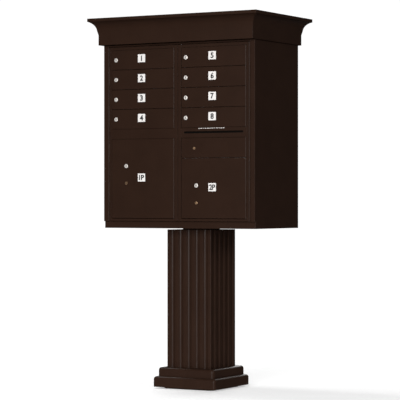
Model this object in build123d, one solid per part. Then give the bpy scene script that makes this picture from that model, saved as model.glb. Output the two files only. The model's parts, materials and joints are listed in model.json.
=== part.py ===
"""Cluster mailbox unit on a pedestal: cabinet, loading doors, compartment doors, locks, latch and covers.

Millimetres. X to the right seen from the front, Y to the back, Z up. The origin is on the ground, on the
pedestal's axis. Compartment doors turn on their right edge, loading doors on the cabinet's outer edges.
"""
from build123d import *
import os

# ---------------------------------------------------------------- driving dimensions
MODULE = 88.9                   # height of one tenant compartment
TENANTS = 4                     # tenant compartments in each column
CAB_HALF = 387.35               # half the cabinet's width
FRONT = -210.0                  # plane of the loading doors' front
BACK = 201.0                    # back of the cabinet
SHEET = 3.0                     # cabinet sheet
SKIRT_BOTTOM = 719.6
SKIRT_SETBACK = 9.0
FLOOR_TOP = 750.2
CAB_TOP = 1542.3
HEADER_BOTTOM = 1534.3
JAMB_IN = 364.5                 # inner edge of the fixed front jambs
INNER = CAB_HALF - SHEET

FIELD_BOTTOM = 763.5            # lowest edge of the compartment doors
FIELD_TOP = FIELD_BOTTOM + 8.5 * MODULE
TENANT_BOTTOM = FIELD_TOP - TENANTS * MODULE
RAIL_BOTTOM = TENANT_BOTTOM - MODULE / 2
MAIL_BOTTOM = RAIL_BOTTOM - MODULE

FRAME_T = 16.0                  # depth of the loading doors' bars
FRAME_BOTTOM = 751.6
SILL_GAP = 1.4                  # extra gap under the lowest doors
FRAME_TOP = 1532.3
FRAME_OUT = 355.0               # outer edge of each loading door
FRAME_MID = 0.75                # half the gap between the loading doors
HINGE_X = 360.5                 # axis of the loading doors' hinges, in the front plane
HINGE_R = 3.5
HINGE_LEAF = 1.5
KNUCKLES = 9
KNUCKLE_GAP = 0.4
BORE_R, PIN_R = 1.60, 1.55      # running fit of every hinge rod

COLUMN_X = {"left": -343.0, "right": 20.0}       # left edge of each column's doors
STILES = {"left": (-FRAME_OUT, -345.2, -16.8, -FRAME_MID), "right": (FRAME_MID, 17.2, 346.2, FRAME_OUT)}
DOOR_W = 316.5                  # flat part of a compartment door
BARREL_DX = 321.5               # hinge axis, from the door's left edge
BARREL_R = 4.0
BARREL_Y = FRONT + 2.5
DOOR_FACE = FRONT - 1.5
DOOR_SHEET = 2.5
DOOR_INSIDE = DOOR_FACE + DOOR_SHEET
LIP_DEPTH, LIP_T = 7.5, 2.0
DOOR_GAP = 1.1                  # half the gap between two doors

LOCK_DX = 21.8                  # tenant lock, from the door's left edge
LOCK_FACE_R, LOCK_BODY_R, LOCK_FACE_T = 9.2, 7.6, 2.2
CARRIER_FACE_R, CARRIER_BODY_R = 6.6, 5.2
FIT = 0.06                      # radial clearance of a lock or bolt in its hole
LOCK_BACK = FRONT + 17.9
CAM_PLANE = FRONT + 18.2
REAR_CAM_PLANE = FRONT + 22.6
CAM_T, CAM_HALF_W, CAM_LENGTH = 2.4, 6.0, 33.5
PARCEL_CAM_LENGTH = 66.0
PARCEL_LOCK_DX = 75.4
KEY_LOCK_Z = {"left": 997.7, "right": 909.1}
CARRIER_DROP = 77.0             # carrier lock below the parcel door's key lock
STRIKE_REACH, STRIKE_HALF_H, STRIKE_T = 18.0, 12.0, 4.0
SLIT_W, SLIT_DEPTH = 2.0, 1.4   # keyway in a lock's face

SHELF_FRONT = FRONT + 30.0
SHELF_T, PARTITION_T = 1.5, 3.0

SLOT_X0, SLOT_X1 = 32.0, 329.0
SLOT_Z0, SLOT_Z1 = 1139.0, 1147.6
SLOT_PLATE_T = 5.0
FLAP_Y, FLAP_Z = FRONT + 8.6, 1154.5
FLAP_R, FLAP_BORE_R, FLAP_ROD_R = 2.4, 1.06, 1.0
FLAP_DROP = 20.0
FLAP_X0, FLAP_X1 = 29.0, 332.0
EAR_X = (24.0, 334.0)           # left faces of the flap's two ears
EAR_T, EAR_HALF_H = 3.0, 4.0

MAIL_LOCK_X, MAIL_LOCK_Z = 84.5, 1073.5
MAIL_SCREWS = (71.0, 28.0)      # pitch of the lock's screws
MAIL_PLUG_R = 6.2
MAIL_SCREW_R, MAIL_SCREW_HEAD_R = 2.0, 3.0
BOLT_X0, BOLT_X1 = 24.0, 70.0   # the bolt, drawn back
BOLT_DROP, BOLT_H = 15.5, 8.0   # its lower edge below the lock's axis, and its height

HANDLE_X, HANDLE_Z = 9.5, 1074.6
HANDLE_Y0, HANDLE_T = FRONT + 21.0, 3.0
HANDLE_ARM, HANDLE_GRIP, HANDLE_HALF_W = 22.0, 30.0, 4.0
PIVOT_R = 2.5
ROD_X0, ROD_X1 = 1.5, 5.5       # flat latch rods behind the right door's inner stile
ROD_Y0, ROD_Y1 = FRONT + 16.5, FRONT + 20.0
LATCH_TRAVEL = 10.0

POST_HALF, POST_WALL = 63.5, 6.35
BASE_PLATE_HALF, BASE_PLATE_T, BASE_PLATE_CORNER = 128.5, 12.7, 25.0
TOP_PLATE_HALF, TOP_PLATE_T = 101.6, 9.5
ANCHOR_PITCH, ANCHOR_HOLE_R = 203.2, 8.0
CAB_BOLT_PITCH, CAB_BOLT_R, HEX_R = 165.1, 6.35, 11.0

PILLAR_HALF, PILLAR_BOTTOM, PILLAR_TOP = 112.5, 95.0, 713.0
PILLAR_WALL, PILLAR_CORNER = 3.5, 2.5
FLUTES, FLUTE_W, FLUTE_PITCH, FLUTE_DEPTH = 5, 25.0, 42.0, 7.5
PLINTH_HALF, PLINTH_BOTTOM, PLINTH_TOP = 159.5, 8.0, 55.0
PLINTH_CORNER, PLINTH_RIM_R = 10.5, 13.0
TIER_HALF, TIER_CORNER, TIER_RIM_R = 143.8, 14.0, 13.0
COVER_WALL = 3.5
COVER_OPENING = 92.0
LEDGE_IN, LEDGE_T = 118.0, 3.0
HALF_SEAM = 0.3                 # half the gap between two cover halves

CROWN_SIDE, CROWN_FRONT, CROWN_BACK = 395.0, FRONT - 35.0, BACK + 17.5
CROWN_TOP = 1661.8
CROWN_WALL = 3.5
LIP_OUT, LIP_H = 37.0, 14.0     # the crown's top lip
COVE_IN, COVE_H = 5.0, 40.0     # where the cove ends
SLOPE_H = 20.0
COVE_BULGE = (15.5, 14.5)       # a point on the cove, out from the band and below the lip


# ---------------------------------------------------------------- helpers
def block(x0, x1, y0, y1, z0, z1):
    """A box from its limits."""
    return Pos((x0 + x1) / 2, (y0 + y1) / 2, (z0 + z1) / 2) * Box(x1 - x0, y1 - y0, z1 - z0)


def bar_z(x, y, r, z0, z1):
    """An upright round bar."""
    return Pos(x, y, (z0 + z1) / 2) * Cylinder(r, z1 - z0)


def bar_y(x, z, r, y0, y1):
    """A round bar along Y."""
    return Pos(x, (y0 + y1) / 2, z) * Rot(90, 0, 0) * Cylinder(r, y1 - y0)


def bar_x(y, z, r, x0, x1):
    """A round bar along X."""
    return Pos((x0 + x1) / 2, y, z) * Rot(0, 90, 0) * Cylinder(r, x1 - x0)


def hexagon_y(x, z, r, y0, y1):
    """A hexagonal bar along Y."""
    return Pos(x, y0, z) * Rot(-90, 0, 0) * extrude(RegularPolygon(r, 6), y1 - y0)


def mirrored(shape):
    """The same piece on the other side of the unit."""
    return mirror(shape, about=Plane.YZ)


def save(name, *pieces):
    """Write one node: a single solid, or a group of separate ones."""
    shape = pieces[0] if len(pieces) == 1 else Compound(children=list(pieces))
    export_step(shape, f"parts/{name}.step")


# ---------------------------------------------------------------- pedestal and covers
def base_plate():
    """Steel foot with the anchor holes."""
    plate = extrude(RectangleRounded(2 * BASE_PLATE_HALF, 2 * BASE_PLATE_HALF, BASE_PLATE_CORNER), BASE_PLATE_T)
    for at in GridLocations(ANCHOR_PITCH, ANCHOR_PITCH, 2, 2):
        plate -= at * bar_z(0, 0, ANCHOR_HOLE_R, -1, BASE_PLATE_T + 1)
    return plate


def post():
    """Square tube on the base plate, with the plate that the cabinet is bolted to welded on its top."""
    inner = POST_HALF - POST_WALL
    tube = RectangleRounded(2 * POST_HALF, 2 * POST_HALF, 9) - RectangleRounded(2 * inner, 2 * inner, 4)
    z1 = FLOOR_TOP - SHEET
    shape = Pos(0, 0, BASE_PLATE_T) * extrude(tube, z1 - BASE_PLATE_T)
    shape += block(-TOP_PLATE_HALF, TOP_PLATE_HALF, -TOP_PLATE_HALF, TOP_PLATE_HALF, z1 - TOP_PLATE_T, z1)
    for at in GridLocations(CAB_BOLT_PITCH, CAB_BOLT_PITCH, 2, 2):
        shape -= at * bar_z(0, 0, CAB_BOLT_R + FIT, z1 - TOP_PLATE_T - 1, z1 + 1)
    return shape


def cabinet_bolts():
    """Four bolts through the cabinet floor, each with its nut under the top plate."""
    nut_top = FLOOR_TOP - SHEET - TOP_PLATE_T
    tip = nut_top - 15
    pieces = []
    for at in GridLocations(CAB_BOLT_PITCH, CAB_BOLT_PITCH, 2, 2):
        head = Pos(0, 0, FLOOR_TOP) * extrude(RegularPolygon(HEX_R, 6), 8)
        nut = Pos(0, 0, nut_top - 11) * extrude(RegularPolygon(HEX_R, 6), 11)
        pieces.append(at * (head + bar_z(0, 0, CAB_BOLT_R, tip, FLOOR_TOP + 1)))
        pieces.append(at * (nut - bar_z(0, 0, CAB_BOLT_R + FIT, tip, nut_top + 1)))
    return pieces


def halves(shape, z0, z1):
    """Left and right halves of a cover, which meet near the centre plane."""
    reach = 2 * PLINTH_HALF
    left = shape & block(-reach, -HALF_SEAM, -reach, reach, z0 - 1, z1 + 1)
    right = shape & block(HALF_SEAM, reach, -reach, reach, z0 - 1, z1 + 1)
    return left, right


def pillar_cover():
    """Square cover with shallow round-bottomed flutes on all four faces."""
    face = RectangleRounded(2 * PILLAR_HALF, 2 * PILLAR_HALF, PILLAR_CORNER)
    half = FLUTE_W / 2
    radius = (half ** 2 + FLUTE_DEPTH ** 2) / (2 * FLUTE_DEPTH)
    for turn in range(4):
        for i in range(FLUTES):
            along = (i - (FLUTES - 1) / 2) * FLUTE_PITCH
            face -= Rot(0, 0, 90 * turn) * Pos(along, -PILLAR_HALF + FLUTE_DEPTH - radius) * Circle(radius)
    inner = PILLAR_HALF - FLUTE_DEPTH - PILLAR_WALL
    face -= RectangleRounded(2 * inner, 2 * inner, 4)
    return Pos(0, 0, PILLAR_BOTTOM) * extrude(face, PILLAR_TOP - PILLAR_BOTTOM)


def base_cover():
    """Two-tier cover over the foot, with a ledge that rests on the base plate."""
    plinth = RectangleRounded(2 * PLINTH_HALF, 2 * PLINTH_HALF, PLINTH_CORNER)
    lower = Pos(0, 0, PLINTH_BOTTOM) * extrude(plinth, PLINTH_TOP - PLINTH_BOTTOM)
    tier = RectangleRounded(2 * TIER_HALF, 2 * TIER_HALF, TIER_CORNER)
    upper = Pos(0, 0, PLINTH_BOTTOM) * extrude(tier, PILLAR_BOTTOM - PLINTH_BOTTOM)
    shape = fillet(lower.edges().group_by(Axis.Z)[-1], PLINTH_RIM_R)
    shape += fillet(upper.edges().group_by(Axis.Z)[-1], TIER_RIM_R)
    low = PLINTH_HALF - COVER_WALL
    high = TIER_HALF - 2 * COVER_WALL
    inside = RectangleRounded(2 * low, 2 * low, PLINTH_CORNER - COVER_WALL)
    shape -= extrude(inside, PLINTH_TOP - PLINTH_RIM_R + 2)
    shape -= block(-high, high, -high, high, 0, PILLAR_BOTTOM - COVER_WALL)
    shape -= block(-COVER_OPENING, COVER_OPENING, -COVER_OPENING, COVER_OPENING, 0, PILLAR_BOTTOM + 1)
    ledge = Pos(0, 0, BASE_PLATE_T) * extrude(inside, LEDGE_T)
    ledge -= block(-LEDGE_IN, LEDGE_IN, -LEDGE_IN, LEDGE_IN, BASE_PLATE_T - 1, BASE_PLATE_T + LEDGE_T + 1)
    return shape + ledge


def cover_screws():
    """Screws across the back seam of the pillar cover, with heads on both sides of a small strap."""
    y0 = PILLAR_HALF
    pieces = []
    for z in (PILLAR_BOTTOM + 60, (PILLAR_BOTTOM + PILLAR_TOP) / 2, PILLAR_TOP - 60):
        pieces.append(block(-7, 7, y0, y0 + 1.5, z - 5, z + 5))
        pieces += [bar_y(x, z, 2.6, y0 + 1.5, y0 + 3.0) for x in (-4, 4)]
    return pieces


# ---------------------------------------------------------------- cabinet
def side_panel():
    """Right side sheet, set back along the skirt, and its front jamb."""
    sheet = block(INNER, CAB_HALF, FRONT, BACK, FLOOR_TOP, CAB_TOP)
    sheet += block(INNER, CAB_HALF, FRONT + SKIRT_SETBACK, BACK, SKIRT_BOTTOM, FLOOR_TOP + 1)
    jamb = block(JAMB_IN, INNER, FRONT, FRONT + SHEET, FLOOR_TOP, CAB_TOP)
    return sheet, jamb


def bottom_pan():
    """Floor with the holes for the bolts and the lower latch rod, and the skirt below it."""
    y0 = FRONT + SKIRT_SETBACK
    floor = block(-INNER, INNER, y0, BACK - SHEET, FLOOR_TOP - SHEET, FLOOR_TOP)
    for at in GridLocations(CAB_BOLT_PITCH, CAB_BOLT_PITCH, 2, 2):
        floor -= at * bar_z(0, 0, CAB_BOLT_R + FIT, FLOOR_TOP - SHEET - 1, FLOOR_TOP + 1)
    floor -= block(ROD_X0 - 1, ROD_X1 + 1, ROD_Y0 - 1, ROD_Y1 + 1, FLOOR_TOP - SHEET - 1, FLOOR_TOP + 1)
    skirt = block(-INNER, INNER, y0, y0 + SHEET, SKIRT_BOTTOM, FLOOR_TOP - SHEET)
    return floor, skirt


def back_panel():
    """Back sheet, down to the skirt's edge."""
    return block(-INNER, INNER, BACK - SHEET, BACK, SKIRT_BOTTOM, CAB_TOP - SHEET)


def roof_panel():
    """Roof sheet and the header strip above the loading doors."""
    roof = block(-INNER, INNER, FRONT + SHEET, BACK, CAB_TOP - SHEET, CAB_TOP)
    header = block(-JAMB_IN, JAMB_IN, FRONT, FRONT + SHEET, HEADER_BOTTOM, CAB_TOP)
    return roof, header


def crown_side(low, high):
    """Section of the crown across one direction, with the same moulding at both ends."""
    lip = CROWN_TOP - LIP_H
    cove = lip - COVE_H
    slope = cove - SLOPE_H
    top = Polyline((low - LIP_OUT, lip), (low - LIP_OUT, CROWN_TOP), (high + LIP_OUT, CROWN_TOP), (high + LIP_OUT, lip))
    bulge = lip - COVE_BULGE[1]
    right = ThreePointArc((high + LIP_OUT, lip), (high + COVE_BULGE[0], bulge), (high + COVE_IN, cove))
    left = ThreePointArc((low - LIP_OUT, lip), (low - COVE_BULGE[0], bulge), (low - COVE_IN, cove))
    foot = Polyline((high + COVE_IN, cove), (high, slope), (high, CAB_TOP), (low, CAB_TOP), (low, slope),
                    (low - COVE_IN, cove))
    return make_face(top.edges() + right.edges() + foot.edges() + left.edges())


def crown_cap():
    """Hollow crown: the moulding runs round all four sides and its corners are mitred."""
    span = 1000.0
    across = extrude(Plane.XZ * crown_side(-CROWN_SIDE, CROWN_SIDE), span, both=True)
    along = extrude(Plane.YZ * crown_side(CROWN_FRONT, CROWN_BACK), span, both=True)
    inner_x = CROWN_SIDE - CROWN_WALL
    hollow = block(-inner_x, inner_x, CROWN_FRONT + CROWN_WALL, CROWN_BACK - CROWN_WALL,
                   CAB_TOP - 1, CROWN_TOP - CROWN_WALL)
    return (across & along) - hollow


def partition():
    """Upright sheet between the two columns."""
    return block(-PARTITION_T / 2, PARTITION_T / 2, SHELF_FRONT, BACK - SHEET, FLOOR_TOP, CAB_TOP - SHEET)


def shelves():
    """Sheets under each tenant compartment, and one under the outgoing-mail compartment."""
    edge = PARTITION_T / 2
    levels = [FIELD_TOP - MODULE * (i + 1) for i in range(TENANTS)]
    pieces = [block(-INNER, -edge, SHELF_FRONT, BACK - SHEET, z - SHELF_T / 2, z + SHELF_T / 2) for z in levels]
    levels.append(MAIL_BOTTOM)
    pieces += [block(edge, INNER, SHELF_FRONT, BACK - SHEET, z - SHELF_T / 2, z + SHELF_T / 2) for z in levels]
    return pieces


# ---------------------------------------------------------------- loading doors
def knuckle(x, y, r, bore_r, z0, z1):
    """A short tube round a hinge rod."""
    return bar_z(x, y, r, z0, z1) - bar_z(x, y, bore_r, z0 - 1, z1 + 1)


def knuckle_spans():
    """Heights of the loading door's hinge knuckles, from the bottom."""
    step = (FRAME_TOP - FRAME_BOTTOM) / KNUCKLES
    return [(FRAME_BOTTOM + i * step + KNUCKLE_GAP, FRAME_BOTTOM + (i + 1) * step) for i in range(KNUCKLES)]


def fixed_leaf():
    """Right-hand hinge leaf behind the jamb, with every other knuckle."""
    leaf = block(JAMB_IN + 0.7, INNER - 1, FRONT + SHEET, FRONT + SHEET + HINGE_LEAF, FRAME_BOTTOM, FRAME_TOP)
    for z0, z1 in knuckle_spans()[0::2]:
        leaf += block(HINGE_X, JAMB_IN + 1, FRONT + SHEET, FRONT + SHEET + HINGE_LEAF, z0, z1)
        leaf += block(HINGE_X, JAMB_IN - 0.2, FRONT + 1.2, FRONT + SHEET + HINGE_LEAF, z0, z1)
        leaf += bar_z(HINGE_X, FRONT, HINGE_R, z0, z1)
        leaf -= bar_z(HINGE_X, FRONT, BORE_R, z0 - 1, z1 + 1)
    return leaf


def moving_leaf():
    """Right-hand hinge leaf on the loading door's edge, with the knuckles between the fixed ones."""
    leaf = block(FRAME_OUT, FRAME_OUT + HINGE_LEAF, FRONT + 0.5, FRONT + FRAME_T, FRAME_BOTTOM, FRAME_TOP)
    for z0, z1 in knuckle_spans()[1::2]:
        leaf += block(FRAME_OUT, HINGE_X - 2.2, FRONT - 1.2, FRONT + 1.2, z0, z1)
        leaf += bar_z(HINGE_X, FRONT, HINGE_R, z0, z1)
        leaf -= bar_z(HINGE_X, FRONT, BORE_R, z0 - 1, z1 + 1)
    return leaf


def bored(shape, side):
    """Cut the bore for the column's hinge rod."""
    x = COLUMN_X[side] + BARREL_DX
    return shape - bar_z(x, BARREL_Y, BORE_R, FRAME_BOTTOM + 3, FRAME_TOP - 3)


def frame_bars(side):
    """Stiles and rails of one loading door. The right one has the outgoing-mail slot in its middle rail."""
    a, b, c, d = STILES[side]
    back = FRONT + FRAME_T
    bars = [block(a, b, FRONT, back, FRAME_BOTTOM, FRAME_TOP), block(c, d, FRONT, back, FRAME_BOTTOM, FRAME_TOP)]
    sill = block(b, c, FRONT, back, FRAME_BOTTOM, FIELD_BOTTOM - SILL_GAP)
    rails = [sill, block(b, c, FRONT, back, FIELD_TOP, FRAME_TOP)]
    if side == "left":
        rails.append(block(b, c, FRONT, back, RAIL_BOTTOM, TENANT_BOTTOM))
    else:
        thin = FRONT + SLOT_PLATE_T
        rails.append(block(b, c, FRONT, thin, RAIL_BOTTOM, SLOT_Z0))
        rails.append(block(b, c, FRONT, thin, SLOT_Z1, TENANT_BOTTOM))
        rails.append(block(b, SLOT_X0, FRONT, thin, SLOT_Z0, SLOT_Z1))
        rails.append(block(SLOT_X1, c, FRONT, thin, SLOT_Z0, SLOT_Z1))
    return bars + [bored(rail, side) for rail in rails]


def strikes(side):
    """Plates on the stile beside the parcel door, which its cams turn behind."""
    x = STILES[side][1]
    y0, y1 = FRONT + FRAME_T - STRIKE_T, FRONT + FRAME_T
    levels = (KEY_LOCK_Z[side], KEY_LOCK_Z[side] - CARRIER_DROP)
    return [block(x, x + STRIKE_REACH, y0, y1, z - STRIKE_HALF_H, z + STRIKE_HALF_H) for z in levels]


def keeper():
    """Bracket on the left door's inner stile, which the latch handle's arm turns in front of."""
    x0, x1 = -14.0, -2.0
    y0, y1 = FRONT + FRAME_T, FRONT + 27.5
    leg = block(x0, x1, y0, y1, HANDLE_Z + 10, HANDLE_Z + 13)
    return leg, block(x0, x1, y1 - 2.3, y1, HANDLE_Z - 10, HANDLE_Z + 10)


def pivot_pin():
    """Headed pin on the right door's inner stile, for the latch handle."""
    y1 = HANDLE_Y0 + HANDLE_T + 0.4
    shank = bar_y(HANDLE_X, HANDLE_Z, PIVOT_R, FRONT + FRAME_T, y1 + 1)
    return shank + bar_y(HANDLE_X, HANDLE_Z, PIVOT_R + 2, y1, y1 + 1.6)


def flap_ears():
    """Two ears behind the slot plate that hold the flap's rod."""
    ears = []
    for x0 in EAR_X:
        ear = block(x0, x0 + EAR_T, FRONT + SLOT_PLATE_T, FLAP_Y + 3, FLAP_Z - EAR_HALF_H, FLAP_Z + EAR_HALF_H)
        ears.append(ear - bar_x(FLAP_Y, FLAP_Z, FLAP_ROD_R + FIT, x0 - 1, x0 + EAR_T + 1))
    return ears


def hinge_rod(side):
    """Rod of one column's compartment doors, held in the rails."""
    return bar_z(COLUMN_X[side] + BARREL_DX, BARREL_Y, PIN_R, FRAME_BOTTOM + 3.2, FRAME_TOP - 3.2)


# ---------------------------------------------------------------- compartment doors
def door_pan(x0, z0, z1):
    """Door with folded edges and a hinge barrel along its right side."""
    z0 += DOOR_GAP
    z1 -= DOOR_GAP
    lip_y = DOOR_INSIDE + LIP_DEPTH
    pan = block(x0, x0 + DOOR_W, DOOR_FACE, DOOR_INSIDE, z0, z1)
    pan += block(x0, x0 + LIP_T, DOOR_INSIDE - 1, lip_y, z0, z1)
    pan += block(x0, x0 + DOOR_W - 4, DOOR_INSIDE - 1, lip_y, z0, z0 + LIP_T)
    pan += block(x0, x0 + DOOR_W - 4, DOOR_INSIDE - 1, lip_y, z1 - LIP_T, z1)
    pan += block(x0 + DOOR_W - 1, x0 + BARREL_DX - 1, DOOR_FACE + 0.1, FRONT + 0.8, z0, z1)
    pan += bar_z(x0 + BARREL_DX, BARREL_Y, BARREL_R, z0, z1)
    return pan - bar_z(x0 + BARREL_DX, BARREL_Y, BORE_R, z0 - 1, z1 + 1)


def lock(x, z, face_r, body_r, back):
    """Lock with its keyway, and the nut that clamps it behind the door's sheet."""
    shape = bar_y(x, z, face_r, DOOR_FACE - LOCK_FACE_T, DOOR_FACE) + bar_y(x, z, body_r, DOOR_FACE - 1, back)
    front = DOOR_FACE - LOCK_FACE_T
    shape -= block(x - SLIT_W / 2, x + SLIT_W / 2, front - 1, front + SLIT_DEPTH, z - face_r / 2, z + face_r / 2)
    nut = hexagon_y(x, z, body_r + 3.4, DOOR_INSIDE, DOOR_INSIDE + 4)
    return [shape, nut - bar_y(x, z, body_r + FIT, DOOR_INSIDE - 1, DOOR_INSIDE + 5)]


def lock_hole(door, x, z, body_r):
    """Cut a lock's hole through a door."""
    return door - bar_y(x, z, body_r + FIT, DOOR_FACE - 1, DOOR_INSIDE + 1)


def cam(x, z, plane, length, half_w, head):
    """Cam on the back of a lock, hanging down, with its screw head."""
    y1 = plane + CAM_T
    plate = block(x - half_w, x + half_w, plane, y1, z - length + half_w, z)
    plate += bar_y(x, z, half_w, plane, y1)
    plate += bar_y(x, z - length + half_w, half_w, plane, y1)
    return plate + hexagon_y(x, z, half_w - 1.5, y1 - 1, y1 + head)


def write_tenants(side, first):
    """Tenant doors of one column with their locks and cams, numbered from the top."""
    x0 = COLUMN_X[side]
    for i in range(TENANTS):
        top = FIELD_TOP - i * MODULE
        x, z = x0 + LOCK_DX, top - MODULE / 2
        name = first + i
        save(f"door_{name}", lock_hole(door_pan(x0, top - MODULE, top), x, z, LOCK_BODY_R))
        save(f"lock_{name}", *lock(x, z, LOCK_FACE_R, LOCK_BODY_R, LOCK_BACK))
        save(f"cam_{name}", cam(x, z, CAM_PLANE, CAM_LENGTH, CAM_HALF_W, 3.0))


def write_parcel(side, name, top):
    """Parcel door with its key lock, its carrier lock and their two cams, one in front of the other."""
    x = COLUMN_X[side] + PARCEL_LOCK_DX
    key_z = KEY_LOCK_Z[side]
    carrier_z = key_z - CARRIER_DROP
    door = lock_hole(door_pan(COLUMN_X[side], FIELD_BOTTOM, top), x, key_z, LOCK_BODY_R)
    door = lock_hole(door, x, carrier_z, CARRIER_BODY_R)
    key_back = REAR_CAM_PLANE - CAM_PLANE + LOCK_BACK
    save(f"parcel_door_{name}", door)
    key_lock = lock(x, key_z, LOCK_FACE_R, LOCK_BODY_R, key_back)
    carrier_lock = lock(x, carrier_z, CARRIER_FACE_R, CARRIER_BODY_R, LOCK_BACK)
    save(f"parcel_locks_{name}", *key_lock, *carrier_lock)
    save(f"parcel_key_cam_{name}", cam(x, key_z, REAR_CAM_PLANE, PARCEL_CAM_LENGTH, CAM_HALF_W, 2.6))
    save(f"parcel_carrier_cam_{name}", cam(x, carrier_z, CAM_PLANE, PARCEL_CAM_LENGTH, CAM_HALF_W, 0.8))


def mail_screw_spots():
    """Centres of the four screws round the carrier lock."""
    dx, dz = MAIL_SCREWS[0] / 2, MAIL_SCREWS[1] / 2
    return [(MAIL_LOCK_X + sx * dx, MAIL_LOCK_Z + sz * dz) for sx in (-1, 1) for sz in (-1, 1)]


def mail_door():
    """Outgoing-mail door, drilled for the carrier lock and its screws."""
    door = door_pan(COLUMN_X["right"], MAIL_BOTTOM, RAIL_BOTTOM)
    door = lock_hole(door, MAIL_LOCK_X, MAIL_LOCK_Z, MAIL_PLUG_R)
    for x, z in mail_screw_spots():
        door = lock_hole(door, x, z, MAIL_SCREW_R)
    return door


def mail_lock():
    """Carrier lock: case behind the door, plug through it, and four screws."""
    dx, dz = MAIL_SCREWS[0] / 2 + 8, MAIL_SCREWS[1] / 2 + 7
    case = block(MAIL_LOCK_X - dx, MAIL_LOCK_X + dx, DOOR_INSIDE, FRONT + 17, MAIL_LOCK_Z - dz, MAIL_LOCK_Z + dz)
    case += bar_y(MAIL_LOCK_X, MAIL_LOCK_Z, MAIL_PLUG_R, DOOR_FACE - 1.6, DOOR_INSIDE + 1)
    case -= block(MAIL_LOCK_X - 1, MAIL_LOCK_X + 1, DOOR_FACE - 2, DOOR_FACE, MAIL_LOCK_Z - 3.5, MAIL_LOCK_Z + 3.5)
    pieces = [case]
    for x, z in mail_screw_spots():
        head = bar_y(x, z, MAIL_SCREW_HEAD_R, DOOR_FACE - 0.8, DOOR_FACE)
        pieces.append(head + bar_y(x, z, MAIL_SCREW_R, DOOR_FACE - 0.5, DOOR_INSIDE))
    return pieces


def mail_bolt():
    """Sliding bolt behind the carrier lock's case, drawn back."""
    z0 = MAIL_LOCK_Z - BOLT_DROP
    return block(BOLT_X0, BOLT_X1, FRONT + 17.3, FRONT + 20.3, z0, z0 + BOLT_H)


def slot_flap():
    """Flap that hangs behind the outgoing-mail slot from its rolled top edge."""
    flap = bar_x(FLAP_Y, FLAP_Z, FLAP_R, FLAP_X0, FLAP_X1)
    flap += block(FLAP_X0, FLAP_X1, FLAP_Y - 0.75, FLAP_Y + 0.75, FLAP_Z - FLAP_DROP, FLAP_Z)
    return flap - bar_x(FLAP_Y, FLAP_Z, FLAP_BORE_R, FLAP_X0 - 1, FLAP_X1 + 1)


# ---------------------------------------------------------------- loading door latch
def latch_handle():
    """Lever behind the outgoing-mail door: its arm hangs down and its grip stands up when unlocked."""
    y1 = HANDLE_Y0 + HANDLE_T
    x0, x1 = HANDLE_X - HANDLE_HALF_W, HANDLE_X + HANDLE_HALF_W
    lever = block(x0, x1, HANDLE_Y0, y1, HANDLE_Z - HANDLE_ARM, HANDLE_Z + HANDLE_GRIP)
    lever += bar_y(HANDLE_X, HANDLE_Z, HANDLE_HALF_W + 3, HANDLE_Y0, y1)
    lever += block(x0, x1, y1 - 1, y1 + 5, HANDLE_Z + HANDLE_GRIP - 8, HANDLE_Z + HANDLE_GRIP)
    return lever - bar_y(HANDLE_X, HANDLE_Z, PIVOT_R + FIT, HANDLE_Y0 - 1, y1 + 1)


def upper_rod():
    """Latch rod that rises behind the header."""
    return block(ROD_X0, ROD_X1, ROD_Y0, ROD_Y1, HANDLE_Z + 18, CAB_TOP - SHEET - LATCH_TRAVEL - 1.3)


def lower_rod():
    """Latch rod that drops through the cabinet floor."""
    return block(ROD_X0, ROD_X1, ROD_Y0, ROD_Y1, FLOOR_TOP - SHEET + LATCH_TRAVEL - 1.2, HANDLE_Z - 18)


# ---------------------------------------------------------------- write the nodes
def write_root():
    """Everything that stands still."""
    save("pedestal_base_plate", base_plate())
    save("pedestal_post", post())
    save("cabinet_bolts", *cabinet_bolts())
    for name, shape, z0, z1 in (("pillar_cover", pillar_cover(), PILLAR_BOTTOM, PILLAR_TOP),
                                ("base_cover", base_cover(), PLINTH_BOTTOM, PILLAR_BOTTOM)):
        left, right = halves(shape, z0, z1)
        save(f"{name}_left", left)
        save(f"{name}_right", right)
    save("cover_screws", *cover_screws())
    save("bottom_pan", *bottom_pan())
    save("side_panel_right", *side_panel())
    save("side_panel_left", *[mirrored(piece) for piece in side_panel()])
    save("back_panel", back_panel())
    save("roof_panel", *roof_panel())
    save("crown_cap", crown_cap())
    save("centre_partition", partition())
    save("shelves", *shelves())
    pin = bar_z(HINGE_X, FRONT, PIN_R, FRAME_BOTTOM, FRAME_TOP)
    save("loading_hinges", fixed_leaf(), pin, mirrored(fixed_leaf()), mirrored(pin))


def write_loading_doors():
    """Frames of the two loading doors and what is fixed on them."""
    leaf = moving_leaf()
    save("loading_door_left", *frame_bars("left"), *strikes("left"), *keeper(), mirrored(leaf))
    save("loading_door_right", *frame_bars("right"), *strikes("right"), pivot_pin(), *flap_ears(), leaf)
    save("hinge_rod_left", hinge_rod("left"))
    flap_rod = bar_x(FLAP_Y, FLAP_Z, FLAP_ROD_R, EAR_X[0], EAR_X[1] + EAR_T)
    save("hinge_rods_right", hinge_rod("right"), flap_rod)


def main():
    os.makedirs("parts", exist_ok=True)
    write_root()
    write_loading_doors()
    write_tenants("left", 1)
    write_tenants("right", 1 + TENANTS)
    write_parcel("left", 1, RAIL_BOTTOM)
    write_parcel("right", 2, MAIL_BOTTOM)
    save("mail_door", mail_door())
    save("mail_lock", *mail_lock())
    save("mail_bolt", mail_bolt())
    save("slot_flap", slot_flap())
    save("latch_handle", latch_handle())
    save("latch_rod_upper", upper_rod())
    save("latch_rod_lower", lower_rod())


main()
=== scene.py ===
"""Looks of a pedestal-mounted cluster mailbox unit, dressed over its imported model.

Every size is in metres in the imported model's own frame: X to the right seen from the front, Y to the
back, Z up, and the origin on the ground under the pedestal. Each sub-assembly is a class that models its
pieces, gives them a finish and lets them ride on the body that carries them.
"""
import json
import logging
import math
from contextlib import contextmanager
from dataclasses import dataclass
from enum import Enum
from typing import Iterator, Sequence

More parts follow.
